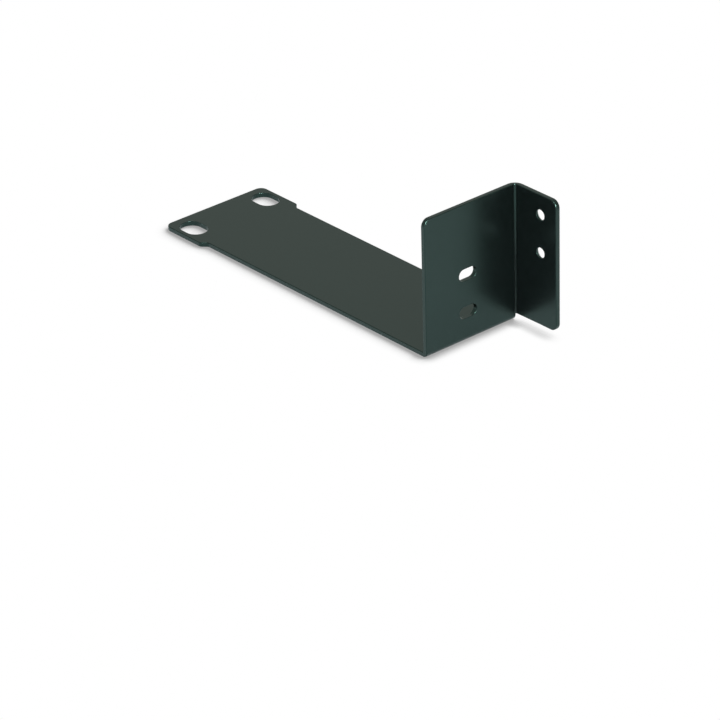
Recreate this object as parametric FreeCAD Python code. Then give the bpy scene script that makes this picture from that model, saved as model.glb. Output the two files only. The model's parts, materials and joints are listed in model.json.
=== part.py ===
import FreeCAD, Part
import math
import os

# Ear bracket for a rack, folded from one sheet of steel. Millimetres, +Z up.
# It lies on its long front plate, front face down. The origin is on that face, midway between
# the two rack slots. +Y runs to the ear's free end, -Y to the side of the device that the
# bracket carries, and the small flange is on the +X side.
# Folded the other way round, the same blank gives the bracket for the rack's other side.

# The sheet and its folds
sheet = 1.7                 # thickness, with the coat on both sides
front_bend = 0.1            # inside radius of the sharp fold from the front plate to the side plate
side_bend_inside = 0.7      # the fold from the side plate to the flange: tight on its inside,
side_bend_outside = 3.5     # rounder on its outside, so that the sheet is thinner in between
corner_round = 2.7          # the free corners of the blank

# The front plate, with the ear at its end
ear_height = 43.0           # across X: one rack unit of 44.45, less the gap to its neighbours
front_length = 131.0        # from the ear's free end to the device
ear_length = 18.9           # from the ear's free end to where its long edges step in
edge_step = 2.0             # how far each long edge steps in
edge_step_angle = 45.0      # slope of the step
edge_step_round = 1.5       # its two rounded corners

# The rack slots: two of the holes of one rack unit, 31.75 apart
rack_slot_spacing = 31.75
rack_slot_from_end = 8.75   # half of the 482.6 panel less half of the 465.1 between the rack's holes
rack_slot_length = 10.8
rack_slot_width = 8.0

# The side plate, folded up along the device
side_depth = 49.0           # its free edge, above the front face

# The flange, folded over the device
flange_reach = 19.0         # from the device's side to the flange's free edge
relief = 0.6                # gap from the end of the first fold to the foot of the second one

# The device's screws
screw_spacing = 13.5
side_slot_length = 7.5
side_slot_width = 4.2
side_slot_from_middle = 1.3     # towards -X
side_slot_from_front = 10.5     # the lower slot, above the front face
flange_hole_diameter = 3.7
flange_hole_from_side = 11.65   # from the device's side
flange_hole_from_front = 28.4   # the lower hole, above the front face
countersink_diameter = 5.7      # at the flange's outer face
countersink_angle = 90.0

# Planes worked out from the sizes above
front_bend_outer = front_bend + sheet
ear_end_y = rack_slot_from_end
device_y = ear_end_y - front_length
arm_height = ear_height - 2 * edge_step
arm_edge_x = arm_height / 2
front_fold_y = device_y + front_bend_outer
flange_inner_x = arm_edge_x
flange_foot_z = front_bend_outer + relief
flange_end_y = device_y - flange_reach
side_fold_run = max(side_bend_inside, side_bend_outside - sheet)    # the longer of its two curves
side_fold_x = flange_inner_x - side_fold_run
side_fold_y = device_y - side_fold_run
countersink_slope = math.tan(math.radians(countersink_angle / 2))
cutter_length = 3 * sheet       # starts one thickness short of the sheet and ends one beyond it

Vector = FreeCAD.Vector


def vector_on(plane, first, second, level=0.0):
    """A point from two coordinates on a plane ("xy", "xz" or "yz") and its level on the third axis."""
    return {
        "xy": Vector(first, second, level),
        "xz": Vector(first, level, second),
        "yz": Vector(level, first, second),
    }[plane]


def rounded_outline(plane, level, corners):
    """A closed wire through (first, second, radius) corners, each rounded where it has a radius."""
    points = [vector_on(plane, first, second, level) for first, second, radius in corners]
    arcs, starts, ends = [], [], []
    for index, (first, second, radius) in enumerate(corners):
        here = points[index]
        back = (points[index - 1] - here).normalize()
        ahead = (points[(index + 1) % len(points)] - here).normalize()
        half_angle = back.getAngle(ahead) / 2
        along = radius / math.tan(half_angle)
        start = here + back * along
        end = here + ahead * along
        if radius > 0:
            bisector = (back + ahead).normalize()
            middle = here + bisector * (radius / math.sin(half_angle) - radius)
            arcs.append(Part.Arc(start, middle, end).toShape())
        starts.append(start)
        ends.append(end)
    followers = starts[1:] + starts[:1]
    lines = [Part.LineSegment(end, start).toShape()
             for end, start in zip(ends, followers) if end.distanceToPoint(start) > 1e-6]
    return Part.Wire(Part.sortEdges(arcs + lines)[0])


def panel(plane, level, corners, thickness=sheet):
    """A flat stretch of the sheet, from its outline on the plane at this level."""
    face = Part.Face(rounded_outline(plane, level, corners))
    return face.extrude(vector_on(plane, 0, 0, thickness))


def slot_cutter(plane, level, middle, size):
    """A cutter for a round-ended slot through a sheet that starts at this level of the plane."""
    half_first, half_second = size[0] / 2, size[1] / 2
    radius = min(half_first, half_second)
    corners = [(middle[0] + first * half_first, middle[1] + second * half_second, radius)
               for first, second in ((-1, -1), (1, -1), (1, 1), (-1, 1))]
    return panel(plane, level - sheet, corners, cutter_length)


def front_plate():
    """The long plate that lies in the rack's front, wider at the ear."""
    step_run = edge_step / math.tan(math.radians(edge_step_angle))
    step_start_y = ear_end_y - ear_length
    ear_edge_x = ear_height / 2
    right = [
        (ear_edge_x, ear_end_y, corner_round),
        (ear_edge_x, step_start_y, edge_step_round),
        (arm_edge_x, step_start_y - step_run, edge_step_round),
        (arm_edge_x, front_fold_y, 0),
    ]
    left = [(-x, y, radius) for x, y, radius in reversed(right)]
    plate = panel("xy", 0, right + left)
    for side in (-1, 1):
        middle = (side * rack_slot_spacing / 2, 0)
        plate = plate.cut(slot_cutter("xy", 0, middle, (rack_slot_width, rack_slot_length)))
    return plate


def front_fold():
    """The sharp fold from the front plate up into the side plate: the plate's end, turned up a quarter."""
    left, right = Vector(-arm_edge_x, front_fold_y, 0), Vector(arm_edge_x, front_fold_y, 0)
    rise = Vector(0, 0, sheet)
    plate_end = Part.Face(Part.makePolygon([left, right, right + rise, left + rise, left]))
    return plate_end.revolve(Vector(0, front_fold_y, front_bend_outer), Vector(-1, 0, 0), 90)


def side_plate():
    """The plate that stands along the device, with two slots for its screws."""
    plate = panel("xz", device_y, [
        (-arm_edge_x, front_bend_outer, 0),
        (arm_edge_x, front_bend_outer, 0),
        (arm_edge_x, flange_foot_z, 0),
        (side_fold_x, flange_foot_z, 0),
        (side_fold_x, side_depth, 0),
        (-arm_edge_x, side_depth, corner_round),
    ])
    for step in (0, 1):
        middle = (-side_slot_from_middle, side_slot_from_front + step * screw_spacing)
        plate = plate.cut(slot_cutter("xz", device_y, middle, (side_slot_length, side_slot_width)))
    return plate


def side_fold():
    """The fold from the side plate into the flange, raised clear of the first fold."""
    section = [
        (side_fold_x, device_y, 0),
        (flange_inner_x, device_y, side_bend_inside),
        (flange_inner_x, side_fold_y, 0),
        (flange_inner_x + sheet, side_fold_y, 0),
        (flange_inner_x + sheet, device_y + sheet, side_bend_outside),
        (side_fold_x, device_y + sheet, 0),
    ]
    return panel("xy", flange_foot_z, section, side_depth - flange_foot_z)


def countersunk_cutter(mouth, outwards):
    """A cutter for a countersunk hole, from the middle of its mouth and the way that the mouth faces."""
    start = mouth - outwards * 2 * sheet
    drill = Part.makeCylinder(flange_hole_diameter / 2, cutter_length, start, outwards)
    mouth_radius = countersink_diameter / 2
    tip = mouth - outwards * (mouth_radius / countersink_slope)
    beyond = mouth_radius / countersink_slope + sheet
    cone = Part.makeCone(0, beyond * countersink_slope, beyond, tip, outwards)
    return drill.fuse(cone)


def flange():
    """The small flange that closes over the device, with two holes countersunk from its outer face."""
    plate = panel("yz", flange_inner_x, [
        (side_fold_y, flange_foot_z, 0),
        (side_fold_y, side_depth, 0),
        (flange_end_y, side_depth, corner_round),
        (flange_end_y, flange_foot_z, corner_round),
    ])
    for step in (0, 1):
        mouth = Vector(flange_inner_x + sheet,
                       device_y - flange_hole_from_side,
                       flange_hole_from_front + step * screw_spacing)
        plate = plate.cut(countersunk_cutter(mouth, Vector(1, 0, 0)))
    return plate


def ear_bracket():
    """The whole bracket, its flat stretches and folds joined into one sheet."""
    bracket = front_plate().multiFuse([front_fold(), side_plate(), side_fold(), flange()])
    return bracket.removeSplitter()


os.makedirs("parts", exist_ok=True)
shape = ear_bracket()
shape.exportStep("parts/ear_bracket.step")
print("ear_bracket:", len(shape.Solids), "solid, valid", shape.isValid(), "volume", round(shape.Volume, 1))
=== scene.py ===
"""Looks of a rack mount ear bracket: one folded sheet of powder-coated steel.

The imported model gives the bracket's form, place and hole sizes. This script softens its cut edges,
dresses it in its finishes and sets it on a pale studio floor.
"""

import json
import logging
import math
from dataclasses import dataclass
from enum import Enum
from typing import Any, Optional

import bmesh
import bpy
from mathutils import Matrix, Vector


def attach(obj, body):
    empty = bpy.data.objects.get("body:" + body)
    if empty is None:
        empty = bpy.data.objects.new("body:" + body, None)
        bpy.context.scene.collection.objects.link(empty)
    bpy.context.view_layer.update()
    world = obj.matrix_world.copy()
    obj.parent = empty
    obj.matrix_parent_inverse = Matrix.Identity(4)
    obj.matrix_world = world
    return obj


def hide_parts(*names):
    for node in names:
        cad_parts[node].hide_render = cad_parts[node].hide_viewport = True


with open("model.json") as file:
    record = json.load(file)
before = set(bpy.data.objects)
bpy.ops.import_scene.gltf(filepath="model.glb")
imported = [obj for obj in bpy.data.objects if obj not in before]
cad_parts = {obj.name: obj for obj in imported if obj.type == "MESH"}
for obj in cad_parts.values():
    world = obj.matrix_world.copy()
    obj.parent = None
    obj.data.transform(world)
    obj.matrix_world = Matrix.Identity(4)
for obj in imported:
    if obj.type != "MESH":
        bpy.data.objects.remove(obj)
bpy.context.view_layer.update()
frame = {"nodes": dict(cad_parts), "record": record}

MM = 0.001
WAVE_RADIANS = 20   # a wave texture turns this far for each unit of its scaled coordinate
log = logging.getLogger("ear_bracket")


class Surface(Enum):
    """The two surfaces that the bracket shows."""

    COATED = "coated"
    BARE = "bare"


def linear(hex_colour: str) -> tuple[float, float, float, float]:
    """Turns an sRGB colour into the linear one that a shader takes.

    Args:
        hex_colour: Six hex digits after a hash sign.

    Returns:
        Red, green, blue and an alpha of one.
    """
    channels = [int(hex_colour[start:start + 2], 16) / 255 for start in (1, 3, 5)]
    curve = [c / 12.92 if c <= 0.04045 else ((c + 0.055) / 1.055) ** 2.4 for c in channels]
    return (curve[0], curve[1], curve[2], 1.0)


def add_node(
    tree: bpy.types.NodeTree,
    kind: str,
    settings: Optional[dict[str, Any]] = None,
    inputs: Optional[dict[Any, Any]] = None,
) -> bpy.types.Node:
    """Adds one node to a shader or geometry tree.

    Args:
        tree: The tree that gets the node.
        kind: The node's type name.
        settings: The node's own properties, by name.
        inputs: Its sockets by name or number, each with a plain value or an output socket to link.

    Returns:
        The new node.
    """
    node = tree.nodes.new(kind)
    for name, value in (settings or {}).items():
        setattr(node, name, value)
    for name, value in (inputs or {}).items():
        if isinstance(value, bpy.types.NodeSocket):
            tree.links.new(value, node.inputs[name])
        else:
            node.inputs[name].default_value = value
    return node


def new_material(name: str) -> tuple[bpy.types.Material, bpy.types.NodeTree]:
    """Makes an empty node material.

    Args:
        name: The material's name.

    Returns:
        The material and its node tree.
    """
    material = bpy.data.materials.new(name)
    material.use_nodes = True
    material.node_tree.nodes.clear()
    return material, material.node_tree


@dataclass(frozen=True)
class SatinPowderCoat:
    """Black polyester powder coat on steel, sprayed dry and baked until it flows.

    The eye sees a very dark pigment under a satin skin with a green cast. The faces take their
    tone from what they reflect, so one towards the pale floor looks grey-green and a sheltered
    one nearly black. The skin has a faint orange peel and a few percent of cloudiness.
    """

    name: str = "satin_powder_coat"
    pigment: str = "#09080a"
    cloudy_pigment: str = "#0d0b0e"
    skin_tint: str = "#c2fff0"
    roughness_low: float = 0.26
    roughness_high: float = 0.31
    cloud_mm: float = 26.0
    cloud_detail: float = 3.0
    cloud_grain: float = 0.55
    peel_mm: float = 1.4
    peel_detail: float = 1.0
    peel_grain: float = 0.4
    peel_strength: float = 1.0
    peel_depth_mm: float = 0.004

    def material(self) -> bpy.types.Material:
        """Builds the coat's material.

        Returns:
            The material.
        """
        material, tree = new_material(self.name)
        place = add_node(tree, "ShaderNodeTexCoord").outputs["Object"]
        clouds = add_node(tree, "ShaderNodeTexNoise", None, {
            "Vector": place, "Scale": 1 / (self.cloud_mm * MM),
            "Detail": self.cloud_detail, "Roughness": self.cloud_grain})
        peel = add_node(tree, "ShaderNodeTexNoise", None, {
            "Vector": place, "Scale": 1 / (self.peel_mm * MM),
            "Detail": self.peel_detail, "Roughness": self.peel_grain})
        colour = add_node(tree, "ShaderNodeMix", {"data_type": "RGBA"}, {
            "Factor": clouds.outputs["Fac"],
            "A": linear(self.pigment),
            "B": linear(self.cloudy_pigment)})
        roughness = add_node(tree, "ShaderNodeMapRange", None, {
            "Value": clouds.outputs["Fac"],
            "To Min": self.roughness_low, "To Max": self.roughness_high})
        bump = add_node(tree, "ShaderNodeBump", None, {
            "Height": peel.outputs["Fac"], "Strength": self.peel_strength,
            "Distance": self.peel_depth_mm * MM})
        shader = add_node(tree, "ShaderNodeBsdfPrincipled", None, {
            "Base Color": colour.outputs["Result"],
            "Roughness": roughness.outputs["Result"],
            "Specular Tint": linear(self.skin_tint),
            "Normal": bump.outputs["Normal"]})
        add_node(tree, "ShaderNodeOutputMaterial", None, {"Surface": shader.outputs["BSDF"]})
        return material


@dataclass(frozen=True)
class MachinedSteel:
    """Mild steel, cut through the finished coat and left bare.

    The eye sees a bright cone with fine rings round the hole, where the cutter went in.
    """

    name: str = "machined_mild_steel"
    light: str = "#8f918f"
    dark: str = "#6b6d6b"
    roughness: float = 0.42
    ring_mm: float = 0.3
    ring_waver: float = 0.4
    ring_strength: float = 0.6
    ring_depth_mm: float = 0.01

    def material(self) -> bpy.types.Material:
        """Builds the bare steel's material, with rings along X, the axis of the holes.

        Returns:
            The material.
        """
        material, tree = new_material(self.name)
        place = add_node(tree, "ShaderNodeTexCoord").outputs["Object"]
        rings = add_node(tree, "ShaderNodeTexWave", {"bands_direction": "X"}, {
            "Vector": place, "Scale": math.tau / WAVE_RADIANS / (self.ring_mm * MM),
            "Distortion": self.ring_waver})
        colour = add_node(tree, "ShaderNodeMix", {"data_type": "RGBA"}, {
            "Factor": rings.outputs["Fac"], "A": linear(self.dark), "B": linear(self.light)})
        bump = add_node(tree, "ShaderNodeBump", None, {
            "Height": rings.outputs["Fac"], "Strength": self.ring_strength,
            "Distance": self.ring_depth_mm * MM})
        shader = add_node(tree, "ShaderNodeBsdfPrincipled", None, {
            "Base Color": colour.outputs["Result"],
            "Metallic": 1.0,
            "Roughness": self.roughness,
            "Normal": bump.outputs["Normal"]})
        add_node(tree, "ShaderNodeOutputMaterial", None, {"Surface": shader.outputs["BSDF"]})
        return material


@dataclass
class FoldedSheet:
    """The bracket: its sheet with softened edges, coated but for its countersinks' cones.

    The edges are rounded by three radii: one for the outer edges, one for the rims of the holes
    and slots, and one for the cut edges of the bare cones. The mouth's radius reaches a little
    past the cone's own.
    """

    node: str = "ear_bracket"
    name: str = "folded_sheet"
    hole_mount: str = "flange_holes"
    rack_slot_mount: str = "rack_slot_low"
    side_slot_mount: str = "side_slots"
    mouth_radius_mm: float = 2.9
    cone_half_deg: float = 45.0
    cone_tolerance: float = 0.1
    rim_mounts: tuple[str, ...] = ("rack_slot_low", "rack_slot_high", "side_slots", "flange_holes")
    rim_margin_mm: float = 0.5
    edge_radius_mm: float = 0.3
    rim_radius_mm: float = 0.1
    bare_radius_mm: float = 0.05
    edge_segments: int = 4
    tight_corner_mm: tuple[tuple[float, float, float], ...] = (
        (17.5, -123.1, 2.3), (19.6, -120.4, 2.5))
    sharp_deg: float = 35.0
    flat_deg: float = 0.5
    merge_mm: float = 0.002
    cut_mm: float = 0.0005
    flat_weight: int = 50

    def mount(self, name: str) -> dict[str, Any]:
        """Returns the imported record's entry for one mount."""
        return next(m for m in frame["record"]["mounts"] if m["name"] == name)

    def cone_tree(self, finishes: dict[Surface, bpy.types.Material]) -> bpy.types.NodeTree:
        """Builds the tree that merges the sheet's faces and leaves the round holes' cones bare.

        Args:
            finishes: The material of each surface.

        Returns:
            A geometry tree with named inputs for the holes' row.
        """
        tree = bpy.data.node_groups.new("bare_cones", "GeometryNodeTree")
        face = tree.interface
        face.new_socket("Sheet", in_out="INPUT", socket_type="NodeSocketGeometry")
        for label, kind in (("First hole", "Vector"), ("Spacing", "Vector"), ("Count", "Int"),
                            ("Mouth radius", "Float"), ("Merge distance", "Float")):
            face.new_socket(label, in_out="INPUT", socket_type="NodeSocket" + kind)
        face.new_socket("Sheet", in_out="OUTPUT", socket_type="NodeSocketGeometry")
        given = add_node(tree, "NodeGroupInput").outputs
        merged = add_node(tree, "GeometryNodeMergeByDistance", None, {
            "Geometry": given["Sheet"], "Distance": given["Merge distance"]})
        axes = add_node(tree, "GeometryNodeMeshLine", {"mode": "OFFSET"}, {
            "Count": given["Count"], "Start Location": given["First hole"],
            "Offset": given["Spacing"]})
        across = add_node(tree, "ShaderNodeVectorMath", {"operation": "MULTIPLY"}, {
            0: add_node(tree, "GeometryNodeInputPosition").outputs["Position"], 1: (0.0, 1.0, 1.0)})
        distance = add_node(tree, "GeometryNodeProximity", {"target_element": "POINTS"}, {
            0: axes.outputs["Mesh"], "Source Position": across.outputs["Vector"]})
        near = add_node(tree, "FunctionNodeCompare", {"operation": "LESS_THAN"}, {
            0: distance.outputs["Distance"], 1: given["Mouth radius"]})
        normal = add_node(tree, "ShaderNodeSeparateXYZ", None, {
            0: add_node(tree, "GeometryNodeInputNormal").outputs["True Normal"]})
        slope = add_node(tree, "ShaderNodeMath", {"operation": "ABSOLUTE"}, {
            0: normal.outputs["X"]})
        tilted = add_node(tree, "FunctionNodeCompare", {"operation": "EQUAL"}, {
            0: slope.outputs["Value"], 1: math.sin(math.radians(self.cone_half_deg)),
            "Epsilon": self.cone_tolerance})
        cone = add_node(tree, "FunctionNodeBooleanMath", {"operation": "AND"}, {
            0: near.outputs["Result"], 1: tilted.outputs["Result"]})
        real = add_node(tree, "GeometryNodeRealizeInstances", None, {
            "Geometry": merged.outputs["Geometry"]})
        coated = add_node(tree, "GeometryNodeSetMaterial", None, {
            "Geometry": real.outputs["Geometry"], "Material": finishes[Surface.COATED]})
        bare = add_node(tree, "GeometryNodeSetMaterial", None, {
            "Geometry": coated.outputs["Geometry"],
            "Selection": cone.outputs["Boolean"],
            "Material": finishes[Surface.BARE]})
        add_node(tree, "NodeGroupOutput", None, {"Sheet": bare.outputs["Geometry"]})
        return tree

    def tree_inputs(self) -> dict[str, Any]:
        """Works out the tree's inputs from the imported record, in metres.

        Returns:
            Each input's value by its label.
        """
        mount = self.mount(self.hole_mount)
        spacing = Vector((0, 0, mount["dims"]["spacing_y_mm"] * MM))
        count = mount["dims"]["count"]
        middle = Vector((0, mount["pos_m"][1], mount["pos_m"][2]))
        return {
            "First hole": middle - spacing * (count - 1) / 2,
            "Spacing": spacing,
            "Count": count,
            "Mouth radius": self.mouth_radius_mm * MM,
            "Merge distance": self.merge_mm * MM,
        }

    def sheet(self, finishes: dict[Surface, bpy.types.Material]) -> bpy.types.Object:
        """Makes the sheet's own mesh, merged and with both finishes laid on.

        Args:
            finishes: The material of each surface.

        Returns:
            The new object, with no modifier left on it.
        """
        source = bpy.data.objects.new(self.name + "_source", frame["nodes"][self.node].data.copy())
        bpy.context.scene.collection.objects.link(source)
        source.data.materials.clear()
        modifier = source.modifiers.new("bare_cones", "NODES")
        modifier.node_group = self.cone_tree(finishes)
        values = self.tree_inputs()
        for item in modifier.node_group.interface.items_tree:
            if item.in_out == "INPUT" and item.name in values:
                modifier[item.identifier] = values[item.name]
        source.update_tag()
        graph = bpy.context.evaluated_depsgraph_get()
        mesh = bpy.data.meshes.new_from_object(source.evaluated_get(graph))
        mesh.name = self.name
        bpy.data.objects.remove(source)
        piece = bpy.data.objects.new(self.name, mesh)
        bpy.context.scene.collection.objects.link(piece)
        return piece

    def clear_flats(self, mesh: bmesh.types.BMesh) -> None:
        """Leaves each flat face whole but for one straight cut through the middles of its holes.

        Args:
            mesh: The sheet, whose flat faces are cut into triangles.
        """
        cuts = {self.rack_slot_mount: (0, 1, 0),
                self.side_slot_mount: (1, 0, 0),
                self.hole_mount: (0, 1, 0)}
        for name, across in cuts.items():
            everything = mesh.verts[:] + mesh.edges[:] + mesh.faces[:]
            cut = bmesh.ops.bisect_plane(mesh, geom=everything, dist=self.cut_mm * MM,
                                         plane_co=self.mount(name)["pos_m"], plane_no=across)
            for edge in cut["geom_cut"]:
                if isinstance(edge, bmesh.types.BMEdge):
                    edge.seam = True
        bmesh.ops.dissolve_limit(mesh, angle_limit=math.radians(self.flat_deg), verts=mesh.verts,
                                 edges=mesh.edges, delimit={"SEAM", "MATERIAL"})

    def in_tight_corner(self, edge: bmesh.types.BMEdge) -> bool:
        """Says whether an edge lies at the foot of the second fold, where faces run out to nothing.

        Args:
            edge: The edge.

        Returns:
            True where both of its ends lie in that corner's box.
        """
        low, high = self.tight_corner_mm
        return all(low[axis] * MM < vertex.co[axis] < high[axis] * MM
                   for vertex in edge.verts for axis in range(3))

    def on_rim(self, edge: bmesh.types.BMEdge) -> bool:
        """Says whether an edge belongs to the rim of a hole or slot.

        Args:
            edge: The edge.

        Returns:
            True where both of its ends lie beside the middles of one mount's holes.
        """
        for name in self.rim_mounts:
            mount = self.mount(name)
            middle = Vector(mount["pos_m"])
            half = Vector((0, 0, mount["dims"]["spacing_y_mm"] / 2)) * MM
            length = mount["dims"].get("slot_length_mm", 2 * self.mouth_radius_mm)
            reach = (length / 2 + self.rim_margin_mm) * MM
            middles = [middle + half * side for side in (-1, 1)]
            if all(min((vertex.co - place).length for place in middles) < reach
                   for vertex in edge.verts):
                return True
        return False

    def radius(self, edge: bmesh.types.BMEdge, bare: int) -> float:
        """Chooses an edge's rounding.

        Args:
            edge: The edge.
            bare: The material number of the bare cones.

        Returns:
            Its radius in millimetres, zero where it stays as it is.
        """
        if (not edge.is_convex or edge.calc_face_angle() < math.radians(self.sharp_deg)
                or self.in_tight_corner(edge)):
            return 0.0
        if any(face.material_index == bare for face in edge.link_faces):
            return self.bare_radius_mm
        return self.rim_radius_mm if self.on_rim(edge) else self.edge_radius_mm

    def soften(self, piece: bpy.types.Object) -> None:
        """Rounds the cut edges, each by its own radius, and keeps the flat faces flat to the light.

        Args:
            piece: The sheet, whose edges are still sharp.
        """
        names = [material.name for material in piece.data.materials]
        bare = names.index(MachinedSteel.name)
        mesh = bmesh.new()
        mesh.from_mesh(piece.data)
        self.clear_flats(mesh)
        share = mesh.edges.layers.float.new("bevel_weight_edge")
        for edge in mesh.edges:
            edge[share] = self.radius(edge, bare) / self.edge_radius_mm
        mesh.to_mesh(piece.data)
        mesh.free()
        piece.data.shade_smooth()
        bevel = piece.modifiers.new("softened_edges", "BEVEL")
        bevel.width = self.edge_radius_mm * MM
        bevel.segments = self.edge_segments
        bevel.limit_method = "WEIGHT"
        bevel.use_clamp_overlap = False
        bevel.loop_slide = False
        normals = piece.modifiers.new("flat_faces", "WEIGHTED_NORMAL")
        normals.mode = "FACE_AREA"
        normals.weight = self.flat_weight

    def build(self, finishes: dict[Surface, bpy.types.Material]) -> list[bpy.types.Object]:
        """Builds the bracket and gives it to its body.

        Args:
            finishes: The material of each surface.

        Returns:
            The finished pieces.
        """
        piece = self.sheet(finishes)
        self.soften(piece)
        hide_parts(self.node)
        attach(piece, "root")
        return [piece]


@dataclass
class Studio:
    """A pale floor, an even pale room, a soft overhead lamp and a card of light for the glints."""

    floor_size_m: float = 8.0
    floor_drop_mm: float = 0.02
    floor_colour: str = "#f4f9ff"
    shadow_reach_mm: float = 6.0
    shadow_low: float = 0.48
    shadow_high: float = 0.95
    shadow_tone: float = 0.38
    shadow_lean: tuple[float, float, float] = (0.7, 0.0, 0.7)
    shadow_samples: int = 16
    room_colour: str = "#f6fef5"
    room_strength: float = 0.6
    lamp_direction: tuple[float, float, float] = (-0.39, -0.29, 0.87)
    glint_direction: tuple[float, float, float] = (-0.31, -0.86, 0.41)
    lamp_distance_m: float = 0.9
    lamp_size_m: float = 0.25
    lamp_watts: float = 5.0
    glint_size_m: float = 0.2
    glint_watts: float = 28.0
    aim_mm: tuple[float, float, float] = (0.0, -66.0, 20.0)

    def floor_material(self) -> bpy.types.Material:
        """Builds the floor's material.

        It is pale to the object, and white to the camera but for the contact shadow.

        Returns:
            The material.
        """
        material, tree = new_material("pale_floor")
        path = add_node(tree, "ShaderNodeLightPath")
        plain = add_node(tree, "ShaderNodeBsdfDiffuse", None, {"Color": linear(self.floor_colour)})
        lean = add_node(tree, "ShaderNodeVectorMath", {"operation": "NORMALIZE"}, {
            0: self.shadow_lean})
        open_sky = add_node(tree, "ShaderNodeAmbientOcclusion", {"samples": self.shadow_samples}, {
            "Distance": self.shadow_reach_mm * MM, "Normal": lean.outputs["Vector"]})
        white = add_node(tree, "ShaderNodeMapRange", {"interpolation_type": "SMOOTHSTEP"}, {
            "Value": open_sky.outputs["AO"],
            "From Min": self.shadow_low, "From Max": self.shadow_high,
            "To Min": self.shadow_tone})
        shown = add_node(tree, "ShaderNodeEmission", None, {"Strength": white.outputs["Result"]})
        shader = add_node(tree, "ShaderNodeMixShader", None, {
            0: path.outputs["Is Camera Ray"], 1: plain.outputs["BSDF"],
            2: shown.outputs["Emission"]})
        add_node(tree, "ShaderNodeOutputMaterial", None, {"Surface": shader.outputs["Shader"]})
        return material

    def floor(self) -> bpy.types.Object:
        """Lays the floor just under the bracket.

        Returns:
            The floor.
        """
        half = self.floor_size_m / 2
        level = -self.floor_drop_mm * MM
        mesh = bpy.data.meshes.new("studio_floor")
        corners = [(x * half, y * half, level) for x, y in ((-1, -1), (1, -1), (1, 1), (-1, 1))]
        mesh.from_pydata(corners, [], [(0, 1, 2, 3)])
        mesh.materials.append(self.floor_material())
        floor = bpy.data.objects.new("studio_floor", mesh)
        bpy.context.scene.collection.objects.link(floor)
        return floor

    def room(self) -> None:
        """Fills the world with even light, a trace green on the object and white to the camera."""
        world = bpy.data.worlds.new("white_room")
        world.use_nodes = True
        tree = world.node_tree
        tree.nodes.clear()
        path = add_node(tree, "ShaderNodeLightPath")
        strength = add_node(tree, "ShaderNodeMapRange", None, {
            "Value": path.outputs["Is Camera Ray"],
            "To Min": self.room_strength, "To Max": 1.0})
        colour = add_node(tree, "ShaderNodeMix", {"data_type": "RGBA"}, {
            "Factor": path.outputs["Is Camera Ray"],
            "A": linear(self.room_colour), "B": linear("#ffffff")})
        light = add_node(tree, "ShaderNodeBackground", None, {
            "Color": colour.outputs["Result"], "Strength": strength.outputs["Result"]})
        add_node(tree, "ShaderNodeOutputWorld", None, {"Surface": light.outputs["Background"]})
        bpy.context.scene.world = world

    def lamp(self, name: str, direction: tuple[float, float, float], size_m: float,
             watts: float) -> bpy.types.Object:
        """Hangs one square lamp.

        Args:
            name: The lamp's name.
            direction: The way to it from the bracket.
            size_m: Its side, in metres.
            watts: Its power.

        Returns:
            The lamp.
        """
        data = bpy.data.lights.new(name, "AREA")
        data.shape = "SQUARE"
        data.size = size_m
        data.energy = watts
        lamp = bpy.data.objects.new(name, data)
        away = Vector(direction).normalized()
        lamp.location = Vector(self.aim_mm) * MM + away * self.lamp_distance_m
        lamp.rotation_mode = "QUATERNION"
        lamp.rotation_quaternion = (-away).to_track_quat("-Z", "Y")
        bpy.context.scene.collection.objects.link(lamp)
        return lamp

    def build(self) -> None:
        """Sets up the floor, the room and the lamps. The second lamp shows only in reflections."""
        self.floor()
        self.room()
        self.lamp("overhead_softbox", self.lamp_direction, self.lamp_size_m, self.lamp_watts)
        glint = self.lamp("glint_card", self.glint_direction, self.glint_size_m, self.glint_watts)
        glint.visible_diffuse = False
        glint.visible_camera = False
        bpy.context.scene.view_settings.view_transform = "Standard"


@dataclass
class PhotoCamera:
    """A camera at the photograph's angle.

    Azimuth 0 looks along +Y, and the roll turns the camera about its own view.
    """

    azimuth_deg: float = -40.3941
    elevation_deg: float = 28.2917
    roll_deg: float = -1.6153
    lens_mm: float = 201.599
    sensor_mm: float = 36.0
    place_m: tuple[float, float, float] = (-0.769868, -0.971262, 0.610057)
    clip_m: tuple[float, float] = (0.05, 20.0)

    def build(self) -> bpy.types.Object:
        """Makes the scene's camera.

        Returns:
            The camera.
        """
        azimuth, elevation, roll = (math.radians(v) for v in (
            self.azimuth_deg, self.elevation_deg, self.roll_deg))
        back = Vector((math.sin(azimuth) * math.cos(elevation),
                       -math.cos(azimuth) * math.cos(elevation),
                       math.sin(elevation)))
        level = Vector((math.cos(azimuth), math.sin(azimuth), 0))
        right = level * math.cos(roll) + back.cross(level) * math.sin(roll)
        up = back.cross(right)
        data = bpy.data.cameras.new("photo_camera")
        data.lens = self.lens_mm
        data.sensor_width = self.sensor_mm
        data.clip_start, data.clip_end = self.clip_m
        camera = bpy.data.objects.new("photo_camera", data)
        turn = Matrix((right, up, back)).transposed().to_4x4()
        camera.matrix_world = Matrix.Translation(self.place_m) @ turn
        bpy.context.scene.collection.objects.link(camera)
        bpy.context.scene.camera = camera
        return camera


def main() -> None:
    """Builds the bracket, the studio and the camera, and reports each piece."""
    logging.basicConfig(level=logging.INFO, format="%(name)s: %(message)s")
    finishes = {Surface.COATED: SatinPowderCoat().material(),
                Surface.BARE: MachinedSteel().material()}
    for piece in FoldedSheet().build(finishes):
        log.info("%s has %d faces and %d materials", piece.name, len(piece.data.polygons),
                 len(piece.data.materials))
    Studio().build()
    PhotoCamera().build()


if __name__ == "__main__":
    main()
